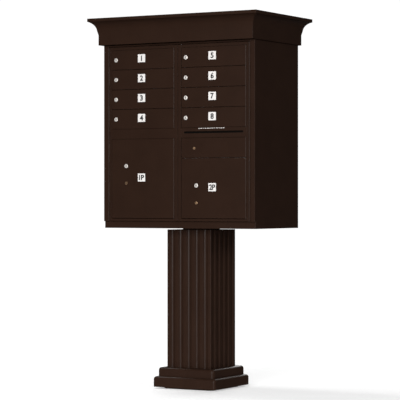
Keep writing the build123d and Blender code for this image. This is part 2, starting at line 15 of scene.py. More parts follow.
import bpy
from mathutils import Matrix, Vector


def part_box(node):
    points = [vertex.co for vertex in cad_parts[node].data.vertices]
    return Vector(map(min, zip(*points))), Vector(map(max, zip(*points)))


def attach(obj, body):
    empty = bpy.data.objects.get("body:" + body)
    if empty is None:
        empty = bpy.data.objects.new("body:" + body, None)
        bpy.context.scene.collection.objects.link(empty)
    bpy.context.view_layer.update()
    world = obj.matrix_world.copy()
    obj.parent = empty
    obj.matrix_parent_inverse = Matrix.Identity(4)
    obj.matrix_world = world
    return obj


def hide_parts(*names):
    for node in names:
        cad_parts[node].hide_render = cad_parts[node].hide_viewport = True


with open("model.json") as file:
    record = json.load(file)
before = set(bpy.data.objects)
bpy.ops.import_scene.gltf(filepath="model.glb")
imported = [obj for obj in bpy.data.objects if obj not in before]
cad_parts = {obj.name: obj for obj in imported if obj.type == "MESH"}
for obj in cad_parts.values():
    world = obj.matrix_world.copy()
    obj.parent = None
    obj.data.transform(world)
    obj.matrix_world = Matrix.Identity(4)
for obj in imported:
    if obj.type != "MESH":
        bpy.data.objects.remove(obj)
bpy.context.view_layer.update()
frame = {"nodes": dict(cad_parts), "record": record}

LOG = logging.getLogger("cluster_mailbox")

Point = tuple[float, float, float]
Colour = tuple[float, float, float, float]


# ---------------------------------------------------------------------------------- shader tools
class Wire:
    """A socket that carries a number. Python's operators on it add Math nodes."""

    def __init__(self, bench: "ShaderBench", socket: bpy.types.NodeSocket) -> None:
        """Wrap a socket of one of the bench's nodes."""
        self.bench = bench
        self.socket = socket

    def _math(self, operation: str, *values: "Wire | float") -> "Wire":
        """Add a Math node with these inputs, in order."""
        node = self.bench.node("ShaderNodeMath", {"operation": operation}, dict(enumerate(values)))
        return Wire(self.bench, node.outputs[0])

    def __add__(self, other: "Wire | float") -> "Wire":
        """Sum, with the number on either side."""
        return self._math("ADD", self, other)

    __radd__ = __add__

    def __mul__(self, other: "Wire | float") -> "Wire":
        """Product, with the number on either side."""
        return self._math("MULTIPLY", self, other)

    __rmul__ = __mul__

    def __pow__(self, other: float) -> "Wire":
        """Power."""
        return self._math("POWER", self, other)

    def rising(self, low: float, high: float) -> "Wire":
        """A soft step from 0 to 1.

        Args:
            low: Value at which the step begins.
            high: Value at which it ends.

        Returns:
            The step, between 0 and 1.
        """
        sockets = {"Value": self, "From Min": low, "From Max": high}
        node = self.bench.node("ShaderNodeMapRange", {"interpolation_type": "SMOOTHSTEP"}, sockets)
        return Wire(self.bench, node.outputs[0])


class ShaderBench:
    """Builds one material around a Principled shader."""

    def __init__(self, name: str) -> None:
        """Start an empty material.

        Args:
            name: The material's name.
        """
        self.material = bpy.data.materials.new(name)
        self.material.use_nodes = True
        self.tree = self.material.node_tree
        self.tree.nodes.clear()
        output = self.node("ShaderNodeOutputMaterial")
        self.shader = self.node("ShaderNodeBsdfPrincipled")
        self.tree.links.new(self.shader.outputs["BSDF"], output.inputs["Surface"])
        self.place = self.node("ShaderNodeTexCoord").outputs["Object"]

    def node(self, kind: str, settings: dict | None = None, sockets: dict | None = None) -> bpy.types.Node:
        """Add a node, set its settings first, and then its sockets.

        Args:
            kind: The node's type.
            settings: Attribute names and values.
            sockets: Socket names or numbers, with a number, a colour, a socket or a Wire for each.

        Returns:
            The new node.
        """
        node = self.tree.nodes.new(kind)
        for key, value in (settings or {}).items():
            setattr(node, key, value)
        for key, value in (sockets or {}).items():
            if isinstance(value, Wire):
                value = value.socket
            if isinstance(value, bpy.types.NodeSocket):
                self.tree.links.new(value, node.inputs[key])
            else:
                node.inputs[key].default_value = value
        return node

    def noise(self, scale: float, detail: float = 3.0, roughness: float = 0.55,
              stretch: Point = (1.0, 1.0, 1.0)) -> Wire:
        """Noise on object coordinates.

        Args:
            scale: Features per metre.
            detail: Octaves.
            roughness: Weight of the finer octaves.
            stretch: Scale along X, Y and Z.

        Returns:
            The noise, about 0 to 1.
        """
        mapped = self.node("ShaderNodeMapping", {}, {"Vector": self.place, "Scale": stretch})
        sockets = {"Vector": mapped.outputs[0], "Scale": scale, "Detail": detail, "Roughness": roughness}
        return Wire(self, self.node("ShaderNodeTexNoise", {}, sockets).outputs[0])

    def axis(self, name: str) -> Wire:
        """One object coordinate, X, Y or Z, in metres."""
        return Wire(self, self.node("ShaderNodeSeparateXYZ", {}, {0: self.place}).outputs[name])

    def facing_up(self) -> Wire:
        """How far the surface faces up, from -1 to 1."""
        normal = self.node("ShaderNodeNewGeometry").outputs["Normal"]
        return Wire(self, self.node("ShaderNodeSeparateXYZ", {}, {0: normal}).outputs["Z"])

    def mix(self, factor: Wire, first: "Colour | bpy.types.NodeSocket",
            second: "Colour | bpy.types.NodeSocket") -> bpy.types.NodeSocket:
        """Mix two colours.

        Args:
            factor: 0 for the first colour and 1 for the second.
            first: A colour or a colour socket.
            second: A colour or a colour socket.

        Returns:
            The mixed colour's socket.
        """
        node = self.node("ShaderNodeMix", {"data_type": "RGBA"}, {0: factor, 6: first, 7: second})
        return node.outputs[2]

    def bump(self, height: Wire, strength: float, distance: float) -> None:
        """Feed a height into the shader's normal."""
        node = self.node("ShaderNodeBump", {}, {"Height": height, "Strength": strength, "Distance": distance})
        self.tree.links.new(node.outputs[0], self.shader.inputs["Normal"])

    def drive(self, **sockets: "Wire | bpy.types.NodeSocket") -> None:
        """Link varying values to the shader's sockets.

        Args:
            **sockets: A Wire or a socket for each, named with underscores for spaces.
        """
        for key, value in sockets.items():
            source = value.socket if isinstance(value, Wire) else value
            self.tree.links.new(source, self.shader.inputs[key.replace("_", " ")])

    def fix(self, **sockets: "float | Colour") -> None:
        """Set constants on the shader's own sockets."""
        for key, value in sockets.items():
            self.shader.inputs[key.replace("_", " ")].default_value = value


# ---------------------------------------------------------------------------------- finishes
@dataclass(frozen=True)
class PowderCoat:
    """Satin powder coat with a fine orange peel, faint mottling and dust on what faces up."""

    tint: Colour = (0.0245, 0.01175, 0.0073, 1.0)
    deep: Colour = (0.0218, 0.0104, 0.0065, 1.0)
    dust: Colour = (0.034, 0.021, 0.015, 1.0)
    gloss: float = 0.3
    specular: float = 0.09

    def build(self, name: str) -> bpy.types.Material:
        """Make the material.

        Args:
            name: The material's name.

        Returns:
            The new material.
        """
        bench = ShaderBench(name)
        mottle = bench.noise(9.0, 4.0).rising(0.3, 0.7)
        settled = bench.facing_up().rising(0.55, 0.95) * bench.noise(34.0, 5.0).rising(0.35, 0.75)
        coat = bench.mix(mottle, self.tint, self.deep)
        bench.drive(Base_Color=bench.mix(settled * 0.4, coat, self.dust))
        smear = bench.noise(16.0, 5.0, 0.6, (1.0, 1.0, 0.35))
        bench.drive(Roughness=smear * 0.09 + settled * 0.1 + self.gloss)
        peel = bench.noise(620.0, 2.0, 0.5) + bench.noise(190.0, 2.0, 0.5) * 0.6
        bench.bump(peel, 0.22, 0.00012)
        bench.fix(Specular_IOR_Level=self.specular, Metallic=0.0)
        return bench.material


@dataclass(frozen=True)
class PlatedMetal:
    """Plated or bare metal with fine brushing along one direction and light handling marks."""

    tint: Colour
    tarnish: Colour
    gloss: float = 0.24
    brush: Point = (1.0, 1.0, 40.0)
    grain: float = 60.0
    metallic: float = 1.0

    def build(self, name: str) -> bpy.types.Material:
        """Make the material.

        Args:
            name: The material's name.

        Returns:
            The new material.
        """
        bench = ShaderBench(name)
        stain = bench.noise(85.0, 4.0, 0.6).rising(0.42, 0.75)
        bench.drive(Base_Color=bench.mix(stain * 0.55, self.tint, self.tarnish))
        lines = bench.noise(self.grain, 4.0, 0.7, self.brush)
        bench.drive(Roughness=lines * 0.16 + stain * 0.1 + self.gloss)
        bench.bump(lines, 0.12, 0.00006)
        bench.fix(Metallic=self.metallic)
        return bench.material


@dataclass(frozen=True)
class PrintedVinyl:
    """Matt label stock or ink with a faint fibre and slight soiling, and the near-black painted shade
    finishes.
    """

    tint: Colour
    soil: Colour
    rough: float = 0.5
    specular: float = 0.4

    def build(self, name: str) -> bpy.types.Material:
        """Make the material.

        Args:
            name: The material's name.

        Returns:
            The new material.
        """
        bench = ShaderBench(name)
        soiled = bench.noise(120.0, 4.0, 0.6).rising(0.5, 0.8)
        bench.drive(Base_Color=bench.mix(soiled * 0.35, self.tint, self.soil))
        bench.drive(Roughness=bench.noise(900.0, 2.0) * 0.12 + self.rough)
        bench.bump(bench.noise(1500.0, 2.0), 0.1, 0.00004)
        bench.fix(Specular_IOR_Level=self.specular)
        return bench.material


class Finish(Enum):
    """The finishes on the unit, each with the record's material slot it stands for."""

    BRONZE = ("bronze_powder_coat", "bronze_aluminium")
    PEDESTAL = ("pedestal_powder_coat", "bronze_paint")
    NICKEL = ("nickel_lock_face", "lock_chrome")
    BRASS = ("aged_brass", "brass")
    ZINC = ("zinc_plate", "plated_steel")
    MILL = ("mill_aluminium_sheet", "mill_aluminium")
    VINYL = ("white_label_vinyl", "label_plastic")
    INK = ("black_label_ink", "label_plastic")
    # The shade finish is painted shade: near-black keyway floors and hinge rods stand for the shade in
    # keyways and door seams.
    SHADE = ("blackened_keyway", "plated_steel")
    # The flap finish is painted shade: the slot flap is near-black so the slot in front of it reads dark.
    FLAP = ("matt_black_flap", "bronze_aluminium")


RECIPES: dict[Finish, "PowderCoat | PlatedMetal | PrintedVinyl"] = {
    Finish.BRONZE: PowderCoat(),
    Finish.PEDESTAL: PowderCoat(gloss=0.4),
    Finish.NICKEL: PlatedMetal((0.86, 0.82, 0.78, 1.0), (0.66, 0.62, 0.58, 1.0), 0.34, (1.0, 1.0, 14.0),
                               metallic=0.65),
    Finish.BRASS: PlatedMetal((0.42, 0.27, 0.16, 1.0), (0.26, 0.15, 0.08, 1.0), 0.34, (1.0, 1.0, 14.0)),
    Finish.ZINC: PlatedMetal((0.6, 0.6, 0.57, 1.0), (0.5, 0.48, 0.4, 1.0), 0.3, (1.0, 1.0, 8.0)),
    Finish.MILL: PlatedMetal((0.66, 0.66, 0.66, 1.0), (0.52, 0.52, 0.51, 1.0), 0.34, (1.0, 30.0, 1.0), 14.0),
    Finish.VINYL: PrintedVinyl((0.8, 0.77, 0.75, 1.0), (0.6, 0.57, 0.52, 1.0)),
    Finish.INK: PrintedVinyl((0.012, 0.012, 0.013, 1.0), (0.03, 0.03, 0.03, 1.0), 0.45),
    # The flap and shade finishes below are near-black painted shade.
    Finish.FLAP: PrintedVinyl((0.004, 0.003, 0.0025, 1.0), (0.006, 0.005, 0.004, 1.0), 0.8, 0.04),
    Finish.SHADE: PrintedVinyl((0.01, 0.009, 0.008, 1.0), (0.02, 0.017, 0.014, 1.0), 0.6),
}


class PaintShop:
    """Makes each finish's material once and gives it to pieces."""

    def __init__(self) -> None:
        """Start with an empty shelf."""
        self.made: dict[Finish, bpy.types.Material] = {}

    def coat(self, piece: bpy.types.Object, finish: Finish) -> None:
        """Give a piece one finish all over.

        Args:
            piece: The mesh object.
            finish: The finish.
        """
        if finish not in self.made:
            self.made[finish] = RECIPES[finish].build(finish.value[0])
        piece.data.materials.clear()
        piece.data.materials.append(self.made[finish])


# ---------------------------------------------------------------------------------- mesh tools
def span(spots: Sequence[Point]) -> tuple[list[float], list[float]]:
    """Lowest and highest corner of the box round some points."""
    return [min(values) for values in zip(*spots)], [max(values) for values in zip(*spots)]


@dataclass(frozen=True)
class Room:
    """A box that says which solids are meant."""

    low: Point
    high: Point

    def holds(self, corners: Sequence[Point]) -> bool:
        """Tell whether a solid is meant.

        Args:
            corners: The solid's corners.

        Returns:
            Whether the middle of their box lies in the room.
        """
        low, high = span(corners)
        return all(self.low[axis] <= (low[axis] + high[axis]) / 2 <= self.high[axis] for axis in range(3))


class Work(Enum):
    """What is done next to the front face of a turned piece."""

    PUSH = "extrude it towards the front, or back if the distance is negative"
    INSET = "inset it by a width"
    SCALE = "scale it round the axis by a factor"


PUSH, INSET, SCALE = Work


class Workbench:
    """Models pieces with Blender's own operators, one piece at a time."""

    def __init__(self, paint: PaintShop) -> None:
        """Keep the paint shop at hand.

        Args:
            paint: Where finishes come from.
        """
        self.paint = paint

    @staticmethod
    def pick(*pieces: bpy.types.Object) -> None:
        """Select only some pieces.

        Args:
            *pieces: The pieces, the first of which becomes active.
        """
        bpy.ops.object.select_all(action="DESELECT")
        for piece in pieces:
            piece.select_set(True)
        bpy.context.view_layer.objects.active = pieces[0]

    @contextmanager
    def editing(self, piece: bpy.types.Object) -> Iterator[None]:
        """Edit a piece, with everything in it selected at the start.

        Args:
            piece: The mesh object.

        Returns:
            The stretch of work, in edit mode.
        """
        self.pick(piece)
        bpy.ops.object.mode_set(mode="EDIT")
        bpy.ops.mesh.select_all(action="SELECT")
        yield
        bpy.ops.object.mode_set(mode="OBJECT")

    @contextmanager
    def editing_faces(self, piece: bpy.types.Object, faces: Sequence[int]) -> Iterator[None]:
        """Edit a piece, with only some of its faces selected at the start.

        Args:
            piece: The mesh object.
            faces: The faces' numbers.

        Returns:
            The stretch of work, in edit mode.
        """
        with self.editing(piece):
            bpy.ops.mesh.select_all(action="DESELECT")
            bpy.ops.object.mode_set(mode="OBJECT")
            for index in faces:
                piece.data.polygons[index].select = True
            bpy.ops.object.mode_set(mode="EDIT")
            yield

    def started(self, name: str) -> bpy.types.Object:
        """Name the primitive that was just added and settle its place into its mesh.

        Args:
            name: The piece's name.

        Returns:
            The piece.
        """
        piece = bpy.context.active_object
        piece.name = name
        self.pick(piece)
        bpy.ops.object.transform_apply(location=True, rotation=True, scale=True)
        return piece

    def slab(self, name: str, low: Point, high: Point) -> bpy.types.Object:
        """A box between two corners.

        Args:
            name: The piece's name.
            low: Lowest corner.
            high: Highest corner.

        Returns:
            The new piece.
        """
        size = [b - a for a, b in zip(low, high)]
        middle = [(a + b) / 2 for a, b in zip(low, high)]
        bpy.ops.object.select_all(action="DESELECT")
        bpy.ops.mesh.primitive_cube_add(size=1.0, location=middle)
        bpy.context.active_object.scale = size
        return self.started(name)

    def turned(self, name: str, centre: Point, radius: float, depth: float,
               steps: Sequence[tuple[Work, float]], sides: int = 48) -> bpy.types.Object:
        """A turned piece on an axis along Y, worked from its front face.

        Args:
            name: The piece's name.
            centre: Middle of the back face.
            radius: Radius of the blank.
            depth: Length of the blank, towards the front.
            steps: Work on the front face, in order, each with its distance, width or factor.
            sides: Sides of the blank.

        Returns:
            The new piece.
        """
        x, y, z = centre
        bpy.ops.object.select_all(action="DESELECT")
        bpy.ops.mesh.primitive_cylinder_add(vertices=sides, radius=radius, depth=depth,
                                            location=(x, y - depth / 2, z), rotation=(math.pi / 2, 0, 0))
        piece = self.started(name)
        front = min(piece.data.polygons, key=lambda face: face.center.y).index
        reached = y - depth
        with self.editing_faces(piece, [front]):
            for work, amount in steps:
                if work is INSET:
                    bpy.ops.mesh.inset(thickness=amount, depth=0)
                elif work is SCALE:
                    bpy.ops.transform.resize(value=(amount, 1.0, amount), center_override=(x, reached, z))
                else:
                    reached -= amount
                    bpy.ops.mesh.extrude_region_move(TRANSFORM_OT_translate={"value": (0, -amount, 0)})
        return piece

    @staticmethod
    def facing(piece: bpy.types.Object, way: Point) -> list[bpy.types.MeshPolygon]:
        """The faces of a piece that point one way."""
        return [face for face in piece.data.polygons if face.normal.dot(Vector(way)) > 0.99]

    def extrude_face(self, piece: bpy.types.Object, way: Point, move: Point,
                     front_only: bool = False) -> None:
        """Extrude the face of a piece that points one way.

        Args:
            piece: The mesh object.
            way: The way the face points.
            move: How far it is extruded.
            front_only: Take only the frontmost of several such faces.
        """
        faces = self.facing(piece, way)
        if front_only:
            faces = [min(faces, key=lambda face: face.center.y)]
        with self.editing_faces(piece, [face.index for face in faces]):
            bpy.ops.mesh.extrude_region_move(TRANSFORM_OT_translate={"value": move})

    def inset_face(self, piece: bpy.types.Object, way: Point, width: float) -> None:
        """Inset the faces of a piece that point one way by a border of this width."""
        with self.editing_faces(piece, [face.index for face in self.facing(piece, way)]):
            bpy.ops.mesh.inset(thickness=width, depth=0.0)

    def cut(self, piece: bpy.types.Object, cutter: bpy.types.Object) -> None:
        """Cut one piece out of another.

        Args:
            piece: The piece that is cut.
            cutter: What is cut out of it, which is thrown away.
        """
        self.pick(piece)
        modifier = piece.modifiers.new("cut", "BOOLEAN")
        modifier.operation = "DIFFERENCE"
        modifier.solver = "EXACT"
        modifier.object = cutter
        bpy.ops.object.modifier_apply(modifier=modifier.name)
        bpy.data.objects.remove(cutter, do_unlink=True)

    def soften(self, piece: bpy.types.Object, width: float, segments: int = 2, angle: float = 32.0) -> None:
        """Round the sharp edges of a piece and shade it smoothly.

        Args:
            piece: The mesh object.
            width: Width of the rounding.
            segments: Faces across it.
            angle: Edges sharper than this many degrees are rounded.
        """
        self.pick(piece)
        modifier = piece.modifiers.new("rounding", "BEVEL")
        modifier.width = width
        modifier.segments = segments
        modifier.limit_method = "ANGLE"
        modifier.angle_limit = math.radians(angle)
        bpy.ops.object.modifier_apply(modifier=modifier.name)
        bpy.ops.object.shade_smooth_by_angle(angle=math.radians(40))
        even = piece.modifiers.new("even", "WEIGHTED_NORMAL")
        even.keep_sharp = True
        bpy.ops.object.modifier_apply(modifier=even.name)

    def joined(self, name: str, pieces: Sequence[bpy.types.Object]) -> bpy.types.Object:
        """Join several pieces into one.

        Args:
            name: The joined piece's name.
            pieces: The pieces, which all share one finish.

        Returns:
            The joined piece.
        """
        self.pick(*pieces)
        if len(pieces) > 1:
            bpy.ops.object.join()
        pieces[0].name = name
        return pieces[0]

    def copied(self, piece: bpy.types.Object, name: str, move: Point) -> bpy.types.Object:
        """Copy a piece, mesh and all, to another place.

        Args:
            piece: The piece to copy.
            name: The copy's name.
            move: How far the copy is moved.

        Returns:
            The copy.
        """
        twin = bpy.data.objects.new(name, piece.data.copy())
        bpy.context.scene.collection.objects.link(twin)
        twin.location = move
        self.pick(twin)
        bpy.ops.object.transform_apply(location=True, rotation=True, scale=True)
        return twin

    def repeated(self, name: str, first: bpy.types.Object, moves: Sequence[Point]) -> bpy.types.Object:
        """Copy a piece to several places and join the copies.

        Args:
            name: The joined piece's name.
            first: The piece to copy, which is thrown away.
            moves: How far each copy is moved.

        Returns:
            The joined copies.
        """
        copies = [self.copied(first, f"{name}.{number}", move) for number, move in enumerate(moves)]
        bpy.data.objects.remove(first, do_unlink=True)
        return self.joined(name, copies)

    def rod(self, name: str, start: Point, end: Point, radius: float, sides: int = 32) -> bpy.types.Object:
        """A straight round rod between two points.

        Args:
            name: The piece's name.
            start: One end.
            end: The other end.
            radius: The rod's radius.
            sides: Faces round it.

        Returns:
            The new piece.
        """
        reach = Vector(end) - Vector(start)
        turn = reach.to_track_quat("Z", "Y").to_euler()
        bpy.ops.object.select_all(action="DESELECT")
        bpy.ops.mesh.primitive_cylinder_add(vertices=sides, radius=radius, depth=reach.length,
                                            location=(Vector(start) + Vector(end)) / 2, rotation=turn)
        return self.started(name)

    def hexagon(self, name: str, middle: Point, radius: float, depth: float) -> bpy.types.Object:
        """A six-sided block on an axis along Y.

        Args:
            name: The piece's name.
            middle: Its middle.
            radius: From its axis to a corner.
            depth: Its length along Y.

        Returns:
            The new piece.
        """
        bpy.ops.object.select_all(action="DESELECT")
        bpy.ops.mesh.primitive_cylinder_add(vertices=6, radius=radius, depth=depth, location=middle,
                                            rotation=(math.pi / 2, 0, 0))
        return self.started(name)

    @staticmethod
    def shells(mesh: bpy.types.Mesh) -> list[list[int]]:
        """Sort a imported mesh's loose triangles into its closed solids.

        Args:
            mesh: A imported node's mesh, whose solids follow one another.

        Returns:
            The numbers of each solid's faces.
        """
        spots = [tuple(round(value, 6) for value in vertex.co) for vertex in mesh.vertices]
        solids, faces, unmatched = [], [], set()
        for face in mesh.polygons:
            faces.append(face.index)
            corners = [spots[i] for i in face.vertices]
            for start, end in zip(corners, corners[1:] + corners[:1]):
                if (end, start) in unmatched:
                    unmatched.remove((end, start))
                elif start != end:
                    unmatched.add((start, end))
            if not unmatched:
                solids.append(faces)
                faces = []
        if faces:
            solids.append(faces)
        return solids

    def recast(self, node: str, rounding: float, leave_out: Room | None = None) -> bpy.types.Object:
        """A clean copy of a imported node, with its facets merged and each solid's edges rounded.

        Args:
            node: The node's name.
            rounding: Width of the rounding on its edges.
            leave_out: Solids whose middle lies in this room are left out.

        Returns:
            The copy, which stands for the node.
        """
        source = frame["nodes"][node].data
        parts = []
        for faces in self.shells(source):
            corners = [source.vertices[i].co[:] for face in faces for i in source.polygons[face].vertices]
            if leave_out and leave_out.holds(corners):
                continue
            mesh = bpy.data.meshes.new(f"{node}.solid")
            mesh.from_pydata(corners, [], [(i, i + 1, i + 2) for i in range(0, len(corners), 3)])
            part = bpy.data.objects.new(f"{node}.solid", mesh)
            bpy.context.scene.collection.objects.link(part)
            with self.editing(part):
                bpy.ops.mesh.remove_doubles(threshold=0.000005)
                bpy.ops.mesh.dissolve_limited(angle_limit=math.radians(1.0))
            self.soften(part, rounding)
            parts.append(part)
        return self.joined(f"{node}.finished", parts)

    def fit(self, piece: bpy.types.Object, finish: Finish, body: str, *nodes: str) -> None:
        """Coat a piece, let it ride on its body and, if nodes are named, stand for them.

        Args:
            piece: The finished mesh object.
            finish: Its finish.
            body: The body that carries it.
            *nodes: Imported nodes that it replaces.
        """
        self.paint.coat(piece, finish)
        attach(piece, body)
        if nodes:
            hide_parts(*nodes)
        faces = len(piece.data.polygons)
        LOG.info("%s rides on %s, finish %s, %d faces", piece.name, body, finish.name, faces)


# ---------------------------------------------------------------------------------- sub-assemblies
@dataclass
class RecastParts:
    """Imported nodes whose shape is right, with merged facets, rounded edges and a finish."""

    bench: Workbench
    finish: Finish
    rounding: float
    nodes: Sequence[str]

    def build(self) -> None:
        """Recast each node on its own body."""
        for node in self.nodes:
            self.bench.fit(self.bench.recast(node, self.rounding), self.finish, body_of(node), node)


@dataclass
class SidePanels:
    """The two side sheets: each is folded round the front edge into a jamb, and set back along the skirt."""

    bench: Workbench
    sheet: float = 0.003
    skirt_setback: float = 0.009
    skirt_height: float = 0.0306
    rounding: float = 0.0009
    spare: float = 0.01

    def build(self) -> None:
        """Model the right panel, then the left one."""
        for node, hand in (("side_panel_right", 1.0), ("side_panel_left", -1.0)):
            low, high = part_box(node)
            outer = high.x if hand > 0 else low.x
            inner = outer - hand * self.sheet
            panel = self.bench.slab(f"{node}.finished", low[:], high[:])
            far = (low.x if hand > 0 else high.x) - hand * self.spare
            hollow = self.bench.slab("hollow", (min(inner, far), low.y + self.sheet, low.z - self.spare),
                                     (max(inner, far), high.y + self.spare, high.z + self.spare))
            self.bench.cut(panel, hollow)
            skirt_y, skirt_z = low.y + self.skirt_setback, low.z + self.skirt_height
            notch = self.bench.slab("notch", [value - self.spare for value in low],
                                    (high.x + self.spare, skirt_y, skirt_z))
            self.bench.cut(panel, notch)
            self.bench.soften(panel, self.rounding, 3)
            self.bench.fit(panel, Finish.BRONZE, "root", node)


@dataclass
class BackRivets:
    """Dome-headed rivets that hold the back sheet to the sides, the roof and the pan."""

    bench: Workbench
    head_radius: float = 0.0042
    rim: float = 0.0008
    inset: float = 0.014
    rows: int = 7
    columns: int = 6

    def build(self) -> None:
        """Model one rivet and set its copies round the sheet."""
        low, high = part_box("back_panel")
        spots = []
        for row in range(self.rows):
            z = low.z + self.inset + (high.z - low.z - 2 * self.inset) * row / (self.rows - 1)
            spots += [(low.x + self.inset, z), (high.x - self.inset, z)]
        for column in range(1, self.columns - 1):
            x = low.x + self.inset + (high.x - low.x - 2 * self.inset) * column / (self.columns - 1)
            spots += [(x, low.z + self.inset), (x, high.z - self.inset)]
        moves = [(x, high.y, z) for x, z in spots]
        rivets = self.bench.repeated("back_rivets", self.rivet(), moves)
        self.bench.fit(rivets, Finish.BRONZE, "root")

    def rivet(self) -> bpy.types.Object:
        """Model one dome head at the origin.

        Returns:
            The head, which faces the back.
        """
        r = self.head_radius
        steps = [(PUSH, 0.0006), (INSET, r * 0.28), (PUSH, 0.0005), (INSET, r * 0.34)]
        piece = self.bench.turned("rivet", (0, 0, 0), r, self.rim, steps, 16)
        with self.bench.editing(piece):
            bpy.ops.transform.mirror(constraint_axis=(False, True, False))
            bpy.ops.mesh.normals_make_consistent(inside=False)
        self.bench.soften(piece, 0.0002)
        return piece


@dataclass
class Shelves:
    """Compartment floors, each a sheet with its front edge folded down into a hem."""

    bench: Workbench
    thickness: float = 0.0015
    hem: float = 0.009

    def build(self) -> None:
        """Fold a hem on each shelf."""
        source = frame["nodes"]["shelves"].data
        sheets = []
        for number, faces in enumerate(self.bench.shells(source)):
            spots = [source.vertices[i].co for face in faces for i in source.polygons[face].vertices]
            sheets.append(self.sheet(f"shelf_{number}", *span(spots)))
        self.bench.fit(self.bench.joined("shelves.finished", sheets), Finish.MILL, "root", "shelves")

    def sheet(self, name: str, low: list[float], high: list[float]) -> bpy.types.Object:
        """Model one shelf.

        Args:
            name: The shelf's name.
            low: Its lowest corner, without the hem.
            high: Its highest corner.

        Returns:
            The shelf.
        """
        piece = self.bench.slab(name, (low[0], low[1] + self.thickness, low[2]), high)
        self.bench.extrude_face(piece, (0, -1, 0), (0, -self.thickness, 0))
        self.bench.extrude_face(piece, (0, 0, -1), (0, 0, -self.hem), front_only=True)
        self.bench.soften(piece, 0.0003)
        return piece


@dataclass
class SlotPlate:
    """Rail of the right loading door with the outgoing-mail slot, and the row of plain marks printed over it.

    Corners are (X, Z). The hinge rod of the doors runs through the rail.
    """

    bench: Workbench
    slot_low: tuple[float, float] = (0.032, 1.139)
    slot_high: tuple[float, float] = (0.329, 1.1476)
    plate_low: tuple[float, float] = (0.0172, 1.1191)
    plate_high: tuple[float, float] = (0.3462, 1.16355)
    thickness: float = 0.005
    bore_from_edge: float = 0.0047
    bore_radius: float = 0.0016
    mark_left: float = 0.106
    mark_level: float = 1.1605
    mark_half_height: float = 0.0015
    mark_print: float = 0.00012
    marks: Sequence[float] = (0.005, 0.008, 0.004, 0.0065, 0.009, 0.0045,
                              0.007, 0.0055, 0.0095, 0.004, 0.0065, 0.008)
    mark_gap: float = 0.0048
    spare: float = 0.01
    margin: float = 0.001

    def __post_init__(self) -> None:
        """Find the loading doors' front plane."""
        self.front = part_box("side_panel_right")[0].y

    def room(self) -> Room:
        """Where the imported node's solids of this rail lie."""
        return Room((self.plate_low[0] - self.margin, self.front - self.margin, self.plate_low[1]),
                    (self.plate_high[0] + self.margin, self.front + self.thickness, self.plate_high[1]))

    def build(self) -> None:
        """Model the plate and the marks."""
        self.bench.fit(self.plate(), Finish.BRONZE, "loading_door_right", "loading_door_right")
        self.bench.fit(self.mark_row(), Finish.VINYL, "loading_door_right")

    def plate(self) -> bpy.types.Object:
        """Model the plate.

        Returns:
            The plate with its slot, and the bore for the hinge rod.
        """
        plate = self.bench.slab("slot_plate", (self.plate_low[0], self.front, self.plate_low[1]),
                                (self.plate_high[0], self.front + self.thickness, self.plate_high[1]))
        slot = self.bench.slab("slot", (self.slot_low[0], self.front - self.spare, self.slot_low[1]),
                               (self.slot_high[0], self.front + 2 * self.spare, self.slot_high[1]))
        self.bench.cut(plate, slot)
        x, y = self.plate_high[0] - self.bore_from_edge, self.front + self.thickness / 2
        bore = self.bench.rod("bore", (x, y, self.plate_low[1] - self.spare),
                              (x, y, self.plate_high[1] + self.spare), self.bore_radius, 24)
        self.bench.cut(plate, bore)
        self.bench.soften(plate, 0.0006, 3)
        return plate

    def mark_row(self) -> bpy.types.Object:
        """Model the marks, from left to right.

        Returns:
            The row, as one piece.
        """
        bars = []
        x = self.mark_left
        low, high = self.mark_level - self.mark_half_height, self.mark_level + self.mark_half_height
        for number, width in enumerate(self.marks):
            bar = self.bench.slab(f"mark_{number}", (x, self.front - self.mark_print, low),
                                  (x + width, self.front + 0.0001, high))
            self.bench.soften(bar, 0.00005, 1)
            bars.append(bar)
            x += width + self.mark_gap
        return self.bench.joined("slot_marks", bars)


Dressed = tuple[bpy.types.Object, Finish]


@dataclass(frozen=True)
class Keyway:
    """The slit in a lock's plug, with a near-black floor of painted shade. Depths are in front of the door's
    face.
    """

    half_width: float
    half_height: float
    bottom: float
    floor_back: float
    floor_raise: float = 0.0004
    slit_front: float = 0.004

    def cut(self, bench: Workbench, plug: bpy.types.Object, stem: str, axis: Point) -> bpy.types.Object:
        """Cut the slit and model its floor, a near-black sheet of painted shade.

        Args:
            bench: Where it is modelled.
            plug: The piece that is cut.
            stem: Stem of the floor's name.
            axis: The point of the lock's axis on the door's face.

        Returns:
            The floor.
        """
        x, y, z = axis
        low_x, high_x = x - self.half_width, x + self.half_width
        low_z, high_z = z - self.half_height, z + self.half_height
        slit = bench.slab("slit", (low_x, y - self.slit_front, low_z), (high_x, y - self.bottom, high_z))
        bench.cut(plug, slit)
        # The floor sits just behind the shallow slit; its near-black colour is painted shade for a deep
        # keyway.
        floor = bench.slab(f"{stem}.keyway", (low_x, y - self.bottom - self.floor_raise, low_z),
                           (high_x, y - self.floor_back, high_z))
        bench.soften(floor, 0.0001, 1)
        return floor


